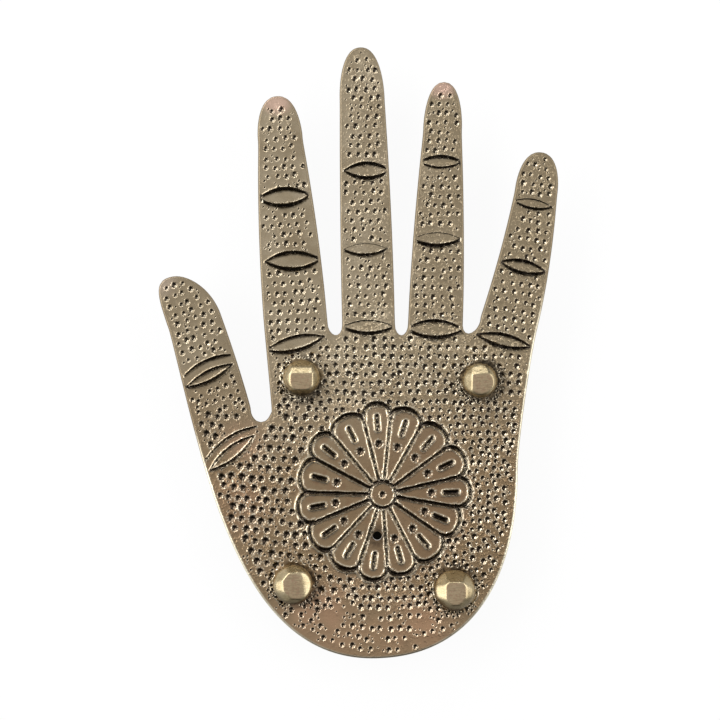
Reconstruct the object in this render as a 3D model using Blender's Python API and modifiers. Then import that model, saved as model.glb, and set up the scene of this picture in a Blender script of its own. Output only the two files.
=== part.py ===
"""Brass hand incense holder: a chased hand-shaped plate on four feet, each held by a stud with a filed head.

Metres, +Z up. The holder stands on Z = 0 with its fingers along +Y, and its plan is centred on the origin.
Plan sizes are taken from the middle of the palm, where the rosette sits.
"""

import math
from dataclasses import dataclass

import bmesh
import bpy
from mathutils import Matrix, Vector
from mathutils.geometry import interpolate_bezier

MM = 0.001


@dataclass(frozen=True)
class Finger:
    """One finger of the plate: a tapering blade that ends in a rounded pad."""

    root_x: float
    root_y: float
    lean: float
    length: float
    bow: float
    root_width: float
    pad_width: float
    pad_length: float
    tip_shift: float
    taper: float
    fullness: float


@dataclass(frozen=True)
class Crease:
    """A finger crease: a lens of two grooves, placed along a finger from its root and across it."""

    finger: Finger
    along: float
    across: float
    length: float
    height: float
    tilt: float


@dataclass(frozen=True)
class Flat:
    """A flat filed on a head: the way it faces, its tilt from level, and how far out it leaves the top."""

    turn: float
    tilt: float
    reach: float


@dataclass(frozen=True)
class Leg:
    """Where one stud and its foot stand on the palm, how wide its head is, and the flats filed on it."""

    x: float
    y: float
    head_diameter: float
    flats: tuple


# Plate
PLATE_THICKNESS = 1.6 * MM
EDGE_ROUNDING = 0.3 * MM
INCENSE_HOLE_DIAMETER = 1.9 * MM
INCENSE_HOLE_X = -1.1 * MM
INCENSE_HOLE_Y = -8.6 * MM

# Fingers, with lean in degrees to the right, bow as a sideways bulge of the middle and tip_shift of the tip
THUMB = Finger(
    root_x=-33.5 * MM, root_y=16.5 * MM, lean=-16.4, length=30.5 * MM, bow=0.2 * MM,
    root_width=12.5 * MM, pad_width=11.3 * MM, pad_length=11.5 * MM, tip_shift=-2.4 * MM,
    taper=1.6, fullness=2.3,
)
INDEX = Finger(
    root_x=-18.0 * MM, root_y=35.2 * MM, lean=-4.8, length=47.7 * MM, bow=0.0 * MM,
    root_width=13.2 * MM, pad_width=9.4 * MM, pad_length=10.0 * MM, tip_shift=0.0 * MM,
    taper=1.9, fullness=2.3,
)
MIDDLE = Finger(
    root_x=-2.9 * MM, root_y=35.2 * MM, lean=-1.7, length=57.7 * MM, bow=0.1 * MM,
    root_width=11.0 * MM, pad_width=9.4 * MM, pad_length=12.0 * MM, tip_shift=0.0 * MM,
    taper=2.0, fullness=2.3,
)
RING = Finger(
    root_x=11.0 * MM, root_y=35.2 * MM, lean=2.1, length=50.5 * MM, bow=0.0 * MM,
    root_width=11.4 * MM, pad_width=8.1 * MM, pad_length=11.0 * MM, tip_shift=0.0 * MM,
    taper=1.7, fullness=2.3,
)
LITTLE = Finger(
    root_x=26.2 * MM, root_y=35.2 * MM, lean=10.6, length=36.5 * MM, bow=0.8 * MM,
    root_width=12.0 * MM, pad_width=8.9 * MM, pad_length=9.0 * MM, tip_shift=0.0 * MM,
    taper=1.2, fullness=2.3,
)

# Palm, with the pull of each smooth curve along its two ends
HEEL_X = -2.2 * MM
HEEL_Y = -34.1 * MM
HEEL_PULL_LITTLE = 24.5 * MM
HEEL_PULL_THUMB = 21.5 * MM
PALM_EDGE_X = 28.1 * MM
PALM_EDGE_Y = 5.1 * MM
PALM_EDGE_PULL = 17.2 * MM
PALM_EDGE_RISE = 5.0 * MM
LITTLE_ROOT_PULL = 6.0 * MM
THUMB_ROOT_PULL = 26.8 * MM
WEB_DEPTH = 2.3 * MM
THUMB_WEB_DEPTH = 3.1 * MM
THUMB_WEB_GAP = 4.4 * MM

# Finger creases, with tilt in degrees to the left
CREASES = (
    Crease(THUMB, along=8.4 * MM, across=-0.2 * MM, length=10.0 * MM, height=2.0 * MM, tilt=27.0),
    Crease(THUMB, along=-8.2 * MM, across=0.2 * MM, length=11.1 * MM, height=2.5 * MM, tilt=38.0),
    Crease(INDEX, along=26.6 * MM, across=-0.2 * MM, length=10.2 * MM, height=3.5 * MM, tilt=0.0),
    Crease(INDEX, along=13.3 * MM, across=0.5 * MM, length=10.8 * MM, height=3.5 * MM, tilt=2.0),
    Crease(INDEX, along=-3.9 * MM, across=-0.4 * MM, length=11.7 * MM, height=2.9 * MM, tilt=13.8),
    Crease(MIDDLE, along=32.0 * MM, across=0.6 * MM, length=8.9 * MM, height=3.1 * MM, tilt=0.0),
    Crease(MIDDLE, along=16.2 * MM, across=-0.3 * MM, length=9.1 * MM, height=2.9 * MM, tilt=2.0),
    Crease(MIDDLE, along=-0.4 * MM, across=-0.1 * MM, length=10.2 * MM, height=2.7 * MM, tilt=0.0),
    Crease(RING, along=33.8 * MM, across=-0.1 * MM, length=8.3 * MM, height=2.3 * MM, tilt=0.0),
    Crease(RING, along=17.8 * MM, across=-0.4 * MM, length=9.5 * MM, height=2.7 * MM, tilt=0.0),
    Crease(RING, along=-0.9 * MM, across=-0.1 * MM, length=11.2 * MM, height=3.5 * MM, tilt=-1.0),
    Crease(LITTLE, along=25.6 * MM, across=-0.4 * MM, length=7.5 * MM, height=1.9 * MM, tilt=-10.0),
    Crease(LITTLE, along=12.3 * MM, across=0.0 * MM, length=9.1 * MM, height=2.5 * MM, tilt=-13.0),
    Crease(LITTLE, along=-3.4 * MM, across=0.0 * MM, length=10.8 * MM, height=2.5 * MM, tilt=-13.0),
)
CREASE_WIDTH = 0.8 * MM
CREASE_END_WIDTH = 0.3 * MM

# Rosette in the middle of the palm, with its turn in degrees to the right
PETAL_COUNT = 15
ROSETTE_TURN = -6.5
PETAL_TIP_RADIUS = 18.9 * MM
PETAL_NOTCH_RADIUS = 16.2 * MM
HUB_RADIUS = 2.8 * MM
ROSETTE_LINE_WIDTH = 0.8 * MM
DASH_RADIUS = 14.4 * MM
DASH_LENGTH = 3.6 * MM
DASH_WIDTH = 1.0 * MM
GRAVER_ANGLE = 90.0

# Flats filed by eye on the heads, with turns in degrees to the left from the little finger's side
INDEX_FLATS = (
    Flat(turn=0.0, tilt=45.0, reach=2.25 * MM),
    Flat(turn=45.0, tilt=50.0, reach=2.5 * MM),
    Flat(turn=90.0, tilt=32.0, reach=0.95 * MM),
    Flat(turn=90.0, tilt=52.0, reach=1.65 * MM),
    Flat(turn=135.0, tilt=48.0, reach=2.35 * MM),
    Flat(turn=180.0, tilt=34.0, reach=2.3 * MM),
    Flat(turn=270.0, tilt=60.0, reach=2.4 * MM),
)
LITTLE_FLATS = (
    Flat(turn=50.0, tilt=42.0, reach=2.3 * MM),
    Flat(turn=95.0, tilt=33.0, reach=1.4 * MM),
    Flat(turn=140.0, tilt=46.0, reach=2.1 * MM),
    Flat(turn=180.0, tilt=40.0, reach=1.65 * MM),
    Flat(turn=270.0, tilt=56.0, reach=2.55 * MM),
    Flat(turn=315.0, tilt=6.0, reach=0.0 * MM),
)
THUMB_HEEL_FLATS = (
    Flat(turn=5.0, tilt=10.0, reach=0.5 * MM),
    Flat(turn=8.0, tilt=25.0, reach=1.55 * MM),
    Flat(turn=45.0, tilt=48.0, reach=3.0 * MM),
    Flat(turn=90.0, tilt=52.0, reach=2.55 * MM),
    Flat(turn=140.0, tilt=48.0, reach=2.3 * MM),
    Flat(turn=185.0, tilt=31.0, reach=1.9 * MM),
    Flat(turn=225.0, tilt=40.0, reach=2.2 * MM),
    Flat(turn=270.0, tilt=50.0, reach=2.75 * MM),
)
LITTLE_HEEL_FLATS = (
    Flat(turn=0.0, tilt=32.0, reach=2.2 * MM),
    Flat(turn=45.0, tilt=50.0, reach=2.4 * MM),
    Flat(turn=90.0, tilt=54.0, reach=1.8 * MM),
    Flat(turn=135.0, tilt=50.0, reach=2.2 * MM),
    Flat(turn=180.0, tilt=32.0, reach=1.75 * MM),
    Flat(turn=225.0, tilt=48.0, reach=2.6 * MM),
    Flat(turn=270.0, tilt=50.0, reach=2.95 * MM),
    Flat(turn=315.0, tilt=48.0, reach=2.7 * MM),
)

# Studs and feet
LEGS = {
    "index": Leg(x=-16.7 * MM, y=24.2 * MM, head_diameter=7.5 * MM, flats=INDEX_FLATS),
    "little": Leg(x=20.1 * MM, y=23.6 * MM, head_diameter=7.3 * MM, flats=LITTLE_FLATS),
    "thumb_heel": Leg(x=-18.5 * MM, y=-18.5 * MM, head_diameter=8.2 * MM, flats=THUMB_HEEL_FLATS),
    "little_heel": Leg(x=14.9 * MM, y=-19.6 * MM, head_diameter=8.4 * MM, flats=LITTLE_HEEL_FLATS),
}
HEAD_SEAT_DROP = 1.4 * MM
HEAD_HEIGHT = 4.0 * MM
SHANK_DIAMETER = 3.4 * MM
SHANK_IN_FOOT = 5.0 * MM
FOOT_HEIGHT = 8.0 * MM
FOOT_COLLAR_DIAMETER = 7.2 * MM
FOOT_COLLAR_HEIGHT = 1.2 * MM
FOOT_WAIST_DIAMETER = 5.6 * MM
FOOT_BASE_DIAMETER = 6.8 * MM
FOOT_BASE_ROUNDING = 0.8 * MM

# Fits
SHANK_CLEARANCE = 0.3 * MM
SEAT_GAP = 0.2 * MM
CUT_OVERRUN = 0.2 * MM

# Smoothness of round stretches
SIDE_STEPS = 6
NOSE_STEPS = 8
PALM_STEPS = 14
WEB_STEPS = 8
GROOVE_STEPS = 8
ROUND_STEPS = 24
EDGE_STEPS = 2

# Heights above the surface that the holder stands on
PLATE_BOTTOM = FOOT_HEIGHT + SEAT_GAP
PLATE_TOP = PLATE_BOTTOM + PLATE_THICKNESS
HEAD_SEAT = PLATE_TOP + SEAT_GAP


def clear_scene():
    """Removes whatever the scene holds."""
    for obj in list(bpy.data.objects):
        bpy.data.objects.remove(obj, do_unlink=True)


def new_collection(name):
    collection = bpy.data.collections.new(name)
    bpy.context.scene.collection.children.link(collection)
    return collection


def metal(name, colour, roughness):
    """A plain metal with the given colour."""
    material = bpy.data.materials.new(name)
    material.use_nodes = True
    shader = material.node_tree.nodes["Principled BSDF"]
    shader.inputs["Base Color"].default_value = (*colour, 1.0)
    shader.inputs["Metallic"].default_value = 1.0
    shader.inputs["Roughness"].default_value = roughness
    return material


def add_object(name, mesh, collection, material=None):
    obj = bpy.data.objects.new(name, mesh)
    collection.objects.link(obj)
    if material:
        mesh.materials.append(material)
        mesh.shade_smooth()
        mesh.set_sharp_from_angle(angle=math.radians(30))
    return obj


def add_cutter(name, mesh, collection):
    cutter = add_object(name, mesh, collection)
    cutter.hide_render = True
    cutter.display_type = "WIRE"
    return cutter


def mesh_from(bm, name):
    bmesh.ops.recalc_face_normals(bm, faces=bm.faces)
    mesh = bpy.data.meshes.new(name)
    bm.to_mesh(mesh)
    bm.free()
    return mesh


def finger_point(finger, along, half_width):
    """A point at a distance along a finger's bowed axis and half a width to its right."""
    lean = math.radians(finger.lean)
    forward = Vector((math.sin(lean), math.cos(lean)))
    right = Vector((forward.y, -forward.x))
    share = along / finger.length
    bulge = 4.0 * finger.bow * share * (1.0 - share)
    slope = 4.0 * finger.bow * (1.0 - 2.0 * share) / finger.length
    across = (right - slope * forward).normalized()
    root = Vector((finger.root_x, finger.root_y))
    in_pad = max(0.0, 1.0 - (finger.length - along) / finger.pad_length)
    sideways = bulge + finger.tip_shift * in_pad**2
    return root + along * forward + sideways * right + half_width * across


def finger_side(finger, side):
    """Points up one side of a finger, 1 for the right and -1 for the left, without the tip."""
    points = []
    blade = finger.length - finger.pad_length
    for step in range(SIDE_STEPS):
        share = step / SIDE_STEPS
        width = finger.root_width + (finger.pad_width - finger.root_width) * share**finger.taper
        points.append(finger_point(finger, share * blade, side * width / 2))
    for step in range(NOSE_STEPS):
        share = math.sin(0.5 * math.pi * step / NOSE_STEPS)
        width = finger.pad_width * (1.0 - share**finger.fullness) ** (1.0 / finger.fullness)
        points.append(finger_point(finger, blade + share * finger.pad_length, side * width / 2))
    return points


def finger_outline(finger):
    """A finger's edge from its right root over the tip to its left root."""
    tip = finger_point(finger, finger.length, 0.0)
    return [*finger_side(finger, 1), tip, *reversed(finger_side(finger, -1))]


def web(start, end, depth):
    """The rounded bottom of the gap between two fingers, without its two ends."""
    middle = (start + end) / 2
    points = []
    for step in range(1, WEB_STEPS):
        angle = math.pi * step / WEB_STEPS
        points.append(middle + math.cos(angle) * (start - middle) - Vector((0.0, depth * math.sin(angle))))
    return points


def smooth_curve(start, start_pull, end, end_pull):
    """Points of a smooth curve from a start to an end along their pulls, without the start."""
    return interpolate_bezier(start, start + start_pull, end + end_pull, end, PALM_STEPS + 1)[1:]


def hand_outline():
    """The plate's edge, going round to the left from the heel of the palm."""
    little, ring, middle, index, thumb = map(finger_outline, (LITTLE, RING, MIDDLE, INDEX, THUMB))
    heel = Vector((HEEL_X, HEEL_Y))
    palm_edge = Vector((PALM_EDGE_X, PALM_EDGE_Y))
    little_pull = LITTLE_ROOT_PULL * (little[0] - little[1]).normalized()
    thumb_pull = THUMB_ROOT_PULL * (thumb[-1] - thumb[-2]).normalized()
    crook = thumb[0] + Vector((THUMB_WEB_GAP, 0.0))
    outline = smooth_curve(heel, Vector((HEEL_PULL_LITTLE, 0.0)), palm_edge, Vector((0.0, -PALM_EDGE_PULL)))
    outline += smooth_curve(palm_edge, Vector((0.0, PALM_EDGE_RISE)), little[0], little_pull)[:-1]
    for finger, following in ((little, ring), (ring, middle), (middle, index)):
        outline += [*finger, *web(finger[-1], following[0], WEB_DEPTH)]
    outline += [*index, crook, *web(crook, thumb[0], THUMB_WEB_DEPTH), *thumb]
    outline += smooth_curve(thumb[-1], thumb_pull, heel, Vector((-HEEL_PULL_THUMB, 0.0)))
    return outline


def cylinder_mesh(name, diameter, bottom, top, steps):
    bm = bmesh.new()
    bmesh.ops.create_cone(
        bm, cap_ends=True, segments=steps, radius1=diameter / 2, radius2=diameter / 2, depth=top - bottom,
        matrix=Matrix.Translation((0.0, 0.0, (top + bottom) / 2)),
    )
    return mesh_from(bm, name)


def plate_mesh(name):
    """The flat hand as a filled outline with thickness, its middle at Z = 0."""
    curve = bpy.data.curves.new(name, "CURVE")
    curve.dimensions = "2D"
    curve.fill_mode = "BOTH"
    curve.extrude = PLATE_THICKNESS / 2
    outline = hand_outline()
    spline = curve.splines.new("POLY")
    spline.points.add(len(outline) - 1)
    for point, place in zip(spline.points, outline):
        point.co = (place.x, place.y, 0.0, 1.0)
    spline.use_cyclic_u = True
    drawn = bpy.data.objects.new(name, curve)
    bpy.context.scene.collection.objects.link(drawn)
    graph = bpy.context.evaluated_depsgraph_get()
    mesh = bpy.data.meshes.new_from_object(drawn.evaluated_get(graph))
    bpy.data.objects.remove(drawn)
    bm = bmesh.new()
    bm.from_mesh(mesh)
    bpy.data.meshes.remove(mesh)
    bmesh.ops.remove_doubles(bm, verts=bm.verts, dist=0.001 * MM)
    flat_faces = [face for face in bm.faces if abs(face.normal.z) > 0.99]
    flat_edges = {edge for face in flat_faces for edge in face.edges}
    seams = [edge for edge in flat_edges if all(face in flat_faces for face in edge.link_faces)]
    bmesh.ops.dissolve_edges(bm, edges=seams)
    return mesh_from(bm, name)


def add_groove(bm, path, widths):
    """Adds to a cutter the V-shaped cut that a graver leaves along a path, with its width at each point."""
    flare = math.tan(math.radians(GRAVER_ANGLE / 2))
    sections = []
    for number, (point, width) in enumerate(zip(path, widths)):
        along = path[min(number + 1, len(path) - 1)] - path[max(number - 1, 0)]
        half = Vector((along.y, -along.x)).normalized() * (width / 2 + CUT_OVERRUN * flare)
        lips = [(*(point - half), CUT_OVERRUN), (*(point + half), CUT_OVERRUN)]
        sections.append([bm.verts.new(corner) for corner in (*lips, (*point, -width / 2 / flare))])
    for section, following in zip(sections, sections[1:]):
        for corner in range(3):
            bm.faces.new((section[corner - 1], section[corner], following[corner], following[corner - 1]))
    bm.faces.new(sections[0])
    bm.faces.new(sections[-1])


def creases_mesh(name, side):
    """A cutter for one side of every finger crease, 1 for the upper arcs and -1 for the lower ones."""
    bm = bmesh.new()
    for crease in CREASES:
        tilt = math.radians(crease.tilt)
        level = Vector((math.cos(tilt), math.sin(tilt)))
        middle = finger_point(crease.finger, crease.along, crease.across)
        path, widths = [], []
        for step in range(GROOVE_STEPS + 1):
            share = step / GROOVE_STEPS
            swell = 4.0 * share * (1.0 - share)
            rise = side * crease.height / 2 * swell
            path.append(middle + (share - 0.5) * crease.length * level + rise * level.orthogonal())
            widths.append(CREASE_END_WIDTH + (CREASE_WIDTH - CREASE_END_WIDTH) * swell)
        add_groove(bm, path, widths)
    return mesh_from(bm, name)


def on_rosette(radius, degrees):
    """A place at a radius from the middle of the palm, turned to the right from straight up."""
    angle = math.radians(degrees)
    return Vector((radius * math.sin(angle), radius * math.cos(angle)))


def petal_end(turn):
    """The rounded end of a petal from one notch to the next."""
    half = 180.0 / PETAL_COUNT
    points = []
    for step in range(GROOVE_STEPS + 1):
        share = math.sin(math.pi * (step / GROOVE_STEPS - 0.5))
        radius = PETAL_NOTCH_RADIUS + (PETAL_TIP_RADIUS - PETAL_NOTCH_RADIUS) * math.sqrt(1.0 - share**2)
        points.append(on_rosette(radius, turn + half * share))
    return points


def rosette_mesh(name):
    """A cutter for the rosette's hub, petals and the dash on each petal."""
    bm = bmesh.new()
    hub = [on_rosette(HUB_RADIUS, 360.0 * step / ROUND_STEPS) for step in range(ROUND_STEPS + 1)]
    add_groove(bm, hub, [ROSETTE_LINE_WIDTH] * len(hub))
    pitch = 360.0 / PETAL_COUNT
    for number in range(PETAL_COUNT):
        turn = ROSETTE_TURN + pitch * number
        end = petal_end(turn)
        side = [on_rosette(radius, turn + pitch / 2) for radius in (HUB_RADIUS, PETAL_NOTCH_RADIUS)]
        reach = (-DASH_LENGTH / 2, -DASH_LENGTH / 4, DASH_LENGTH / 4, DASH_LENGTH / 2)
        dash = [on_rosette(DASH_RADIUS + out, turn) for out in reach]
        add_groove(bm, end, [ROSETTE_LINE_WIDTH] * len(end))
        add_groove(bm, side, [ROSETTE_LINE_WIDTH] * len(side))
        add_groove(bm, dash, [DASH_WIDTH / 2, DASH_WIDTH, DASH_WIDTH, DASH_WIDTH / 2])
    return mesh_from(bm, name)


def cut(obj, cutter):
    boolean = obj.modifiers.new(cutter.name, "BOOLEAN")
    boolean.operation = "DIFFERENCE"
    boolean.solver = "EXACT"
    boolean.use_self = True
    boolean.object = cutter


def add_plate(parts, cutters, material):
    """The hand plate with rounded edges, a hole for each shank and the incense stick, and a chased top."""
    plate = add_object("hand_plate", plate_mesh("hand_plate"), parts, material)
    plate.location.z = PLATE_BOTTOM + PLATE_THICKNESS / 2
    bevel = plate.modifiers.new("edge_rounding", "BEVEL")
    bevel.width = EDGE_ROUNDING
    bevel.segments = EDGE_STEPS
    bevel.limit_method = "ANGLE"
    bevel.angle_limit = math.radians(60)
    holes = {
        f"{leg_name}_shank_hole": (leg.x, leg.y, SHANK_DIAMETER + 2 * SHANK_CLEARANCE)
        for leg_name, leg in LEGS.items()
    }
    holes["incense_hole"] = (INCENSE_HOLE_X, INCENSE_HOLE_Y, INCENSE_HOLE_DIAMETER)
    for hole_name, (x, y, diameter) in holes.items():
        drill = cylinder_mesh(hole_name, diameter, -PLATE_THICKNESS, PLATE_THICKNESS, ROUND_STEPS)
        cutter = add_cutter(hole_name, drill, cutters)
        cutter.location = (x, y, plate.location.z)
        cut(plate, cutter)
    chasing = (creases_mesh("upper_creases", 1), creases_mesh("lower_creases", -1), rosette_mesh("rosette"))
    for grooves in chasing:
        cutter = add_cutter(grooves.name, grooves, cutters)
        cutter.location.z = PLATE_TOP
        cut(plate, cutter)
    return plate


def file_flat(bm, point, normal):
    """Cuts away what lies beyond a plane and closes the flat that is left."""
    geometry = [*bm.verts, *bm.edges, *bm.faces]
    sliced = bmesh.ops.bisect_plane(bm, geom=geometry, plane_co=point, plane_no=normal, clear_outer=True)
    rim = [item for item in sliced["geom_cut"] if isinstance(item, bmesh.types.BMEdge)]
    bmesh.ops.contextual_create(bm, geom=rim)


def head_mesh(name, leg):
    """A bead with a flat seat at Z = 0 and a flat top, filed all round by hand."""
    bm = bmesh.new()
    bmesh.ops.create_uvsphere(
        bm, u_segments=ROUND_STEPS, v_segments=ROUND_STEPS // 2, radius=leg.head_diameter / 2,
        matrix=Matrix.Translation((0.0, 0.0, HEAD_SEAT_DROP)),
    )
    top = Vector((0.0, 0.0, HEAD_HEIGHT))
    up = Vector((0.0, 0.0, 1.0))
    file_flat(bm, Vector(), -up)
    file_flat(bm, top, up)
    for flat in leg.flats:
        turn = math.radians(flat.turn)
        tilt = math.radians(flat.tilt)
        way = Vector((math.cos(turn), math.sin(turn), 0.0))
        file_flat(bm, top + flat.reach * way, math.sin(tilt) * way + math.cos(tilt) * up)
    return mesh_from(bm, name)


def add_stud(leg_name, leg, parts, cutters, material):
    """A filed head with the shank that passes through the plate into the foot."""
    stud = add_object(f"{leg_name}_stud", head_mesh(f"{leg_name}_stud", leg), parts, material)
    stud.location = (leg.x, leg.y, HEAD_SEAT)
    shank_end = -(HEAD_SEAT - FOOT_HEIGHT + SHANK_IN_FOOT)
    shank = cylinder_mesh(f"{leg_name}_shank", SHANK_DIAMETER, shank_end, HEAD_SEAT_DROP, ROUND_STEPS)
    tool = add_cutter(f"{leg_name}_shank", shank, cutters)
    tool.location = stud.location
    union = stud.modifiers.new("shank", "BOOLEAN")
    union.operation = "UNION"
    union.solver = "EXACT"
    union.object = tool
    return stud


def foot_profile():
    """Half the section of a foot from the bottom of its socket, over the rim and down the outside."""
    socket_radius = SHANK_DIAMETER / 2 + SHANK_CLEARANCE
    socket_bottom = FOOT_HEIGHT - SHANK_IN_FOOT - SHANK_CLEARANCE
    collar_bottom = FOOT_HEIGHT - FOOT_COLLAR_HEIGHT
    base_top = 2 * FOOT_BASE_ROUNDING
    profile = [(0.0, socket_bottom), (socket_radius, socket_bottom), (socket_radius, FOOT_HEIGHT)]
    profile += [(FOOT_COLLAR_DIAMETER / 2, FOOT_HEIGHT), (FOOT_COLLAR_DIAMETER / 2, collar_bottom)]
    for step in range(1, SIDE_STEPS):
        share = step / SIDE_STEPS
        hollow = math.sin(math.pi * share)
        straight = FOOT_COLLAR_DIAMETER + (FOOT_BASE_DIAMETER - FOOT_COLLAR_DIAMETER) * share
        diameter = straight + (FOOT_WAIST_DIAMETER - straight) * hollow
        profile.append((diameter / 2, collar_bottom + (base_top - collar_bottom) * share))
    for step in range(SIDE_STEPS + 1):
        angle = math.pi * step / SIDE_STEPS - 0.5 * math.pi
        bulge = FOOT_BASE_ROUNDING * math.cos(angle)
        profile.append((FOOT_BASE_DIAMETER / 2 + bulge, FOOT_BASE_ROUNDING * (1.0 - math.sin(angle))))
    profile.append((0.0, 0.0))
    return profile


def add_foot(leg_name, leg, parts, material):
    """A turned foot with a socket for the shank."""
    name = f"{leg_name}_foot"
    mesh = bpy.data.meshes.new(name)
    profile = [(radius, 0.0, height) for radius, height in foot_profile()]
    mesh.from_pydata(profile, [(number, number + 1) for number in range(len(profile) - 1)], [])
    foot = add_object(name, mesh, parts, material)
    foot.location = (leg.x, leg.y, 0.0)
    screw = foot.modifiers.new("turned", "SCREW")
    screw.steps = ROUND_STEPS
    screw.render_steps = ROUND_STEPS
    screw.use_merge_vertices = True
    screw.merge_threshold = 0.01 * MM
    return foot


def main():
    clear_scene()
    parts = new_collection("hand_incense_holder")
    cutters = new_collection("cutters")
    aged_brass = metal("aged_brass", (0.40, 0.31, 0.19), 0.38)
    bright_brass = metal("bright_brass", (0.52, 0.41, 0.24), 0.30)
    holder = bpy.data.objects.new("holder_centre", None)
    parts.objects.link(holder)
    pieces = [add_plate(parts, cutters, aged_brass)]
    for leg_name, leg in LEGS.items():
        pieces.append(add_stud(leg_name, leg, parts, cutters, bright_brass))
        pieces.append(add_foot(leg_name, leg, parts, bright_brass))
    outline = hand_outline()
    across = [point.x for point in outline]
    along = [point.y for point in outline]
    holder.location = (-(min(across) + max(across)) / 2, -(min(along) + max(along)) / 2, 0.0)
    for piece in [*pieces, *cutters.objects]:
        piece.parent = holder


main()
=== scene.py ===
"""Dresses the hand incense holder: a chased and punched brass plate, filed studs and turned feet."""

import math
import random
from dataclasses import dataclass

import bmesh
import bpy
import numpy as np
from mathutils import Matrix, Vector
from mathutils.geometry import delaunay_2d_cdt


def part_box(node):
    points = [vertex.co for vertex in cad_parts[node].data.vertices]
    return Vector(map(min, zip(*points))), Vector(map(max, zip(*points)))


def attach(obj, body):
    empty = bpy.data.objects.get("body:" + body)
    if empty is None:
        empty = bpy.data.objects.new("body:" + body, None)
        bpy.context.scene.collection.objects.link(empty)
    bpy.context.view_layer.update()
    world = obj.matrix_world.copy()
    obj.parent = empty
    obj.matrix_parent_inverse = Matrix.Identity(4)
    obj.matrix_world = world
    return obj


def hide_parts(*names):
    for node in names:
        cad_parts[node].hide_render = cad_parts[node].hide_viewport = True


MM = 0.001

# The middle of the rosette in the frame. Plan places below are in millimetres from it, to the right and up.
PALM_X = 5.0
PALM_Y = -29.4
INCENSE_HOLE = (-1.1, -8.6)


@dataclass(frozen=True)
class Crease:
    """A finger crease: a lens of two scribed arcs, whose widths are 0 where an arc is missing."""

    x: float
    y: float
    length: float
    height: float
    tilt: float
    upper: float
    lower: float


@dataclass(frozen=True)
class Petal:
    """A petal of the rosette: the turn and the notch's reach at each of its sides, and its tip's reach."""

    left: float
    right: float
    left_notch: float
    right_notch: float
    tip: float

    def turn(self, share):
        """The turn at a share of the way from the left side to the right one."""
        return self.left + (self.right - self.left) * share

    def reach(self, share):
        """How far the rounded end reaches at a share of the way from the left side to the right one."""
        notch = self.left_notch + (self.right_notch - self.left_notch) * share
        return notch + (self.tip - notch) * math.sqrt(1 - (2 * share - 1) ** 2)


@dataclass(frozen=True)
class FingerRows:
    """Punched rows across a finger, from a place near its root to one near its tip."""

    root_x: float
    root_y: float
    tip_x: float
    tip_y: float
    width: float
    pitch: float
    spacing: float
    radius: float


@dataclass(frozen=True)
class PalmRows:
    """Punched rows over a stretch of the palm, within limits to the left, right, bottom and top.

    Sag is the share of the heel's curve that the rows follow.
    """

    left: float
    right: float
    bottom: float
    top: float
    pitch: float
    spacing: float
    radius: float
    keep: float
    jitter: float
    sag: float


CREASES = (
    Crease(-20.4, 61.7, 10.8, 3.5, 4.0, 0.95, 1.05),
    Crease(-18.6, 48.5, 11.4, 3.5, 2.0, 0.9, 1.05),
    Crease(-18.1, 31.3, 12.3, 2.9, 13.8, 0.75, 1.0),
    Crease(-3.2, 67.2, 9.5, 3.1, 0.0, 0.9, 1.0),
    Crease(-3.6, 50.9, 9.2, 2.4, 1.0, 0.15, 0.8),
    Crease(-3.0, 34.8, 10.8, 2.7, 0.0, 0.3, 0.9),
    Crease(12.1, 69.0, 8.9, 2.3, 0.0, 0.8, 0.55),
    Crease(11.3, 53.0, 10.1, 2.7, 0.0, 0.2, 1.0),
    Crease(10.9, 34.3, 11.8, 3.5, -1.0, 0.8, 1.05),
    Crease(31.2, 60.3, 8.1, 1.9, -10.0, 0.3, 0.65),
    Crease(29.2, 47.2, 9.7, 2.5, -13.0, 0.8, 0.9),
    Crease(25.2, 31.9, 11.4, 2.5, -13.0, 0.75, 0.95),
    Crease(-35.9, 24.6, 10.6, 2.0, 27.0, 0.75, 0.95),
    Crease(-36.2, 26.6, 11.6, 2.4, 24.6, 0.8, 0.0),
    Crease(-31.2, 8.6, 11.7, 2.5, 38.0, 0.75, 0.9),
    Crease(-31.4, 10.6, 12.6, 2.6, 33.7, 0.8, 0.0),
)
CREASE_STEPS = 20

# The rosette's uneven petals: the turn of each left side, to the right from straight up, and the tip's reach
PETAL_CUTS = (
    (-14.3, 19.0), (6.0, 18.5), (29.3, 18.3), (53.6, 18.6), (76.9, 18.3),
    (99.5, 17.0), (124.7, 17.0), (152.7, 17.1), (176.0, 17.9), (198.6, 17.5),
    (223.0, 17.5), (247.8, 17.8), (271.6, 17.6), (298.0, 18.3), (320.0, 18.1),
)
# How far a notch lies inside the tips on its two sides
PETAL_DEPTH = 2.5
HUB_RADIUS = 2.8
# The place of a petal's dot as a share of its tip's reach
PETAL_DOT = 0.555
PETAL_DOT_RADIUS = 0.9
HUB_DOT_RADIUS = 0.75
# How far the middle of a dash lies inside its petal's tip
DASH_INSIDE = 4.1
DASH_LENGTH = 2.7
ROSETTE_LINE = 0.93
PETAL_END_LINE = 1.2
DASH_LINE = 1.25

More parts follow.
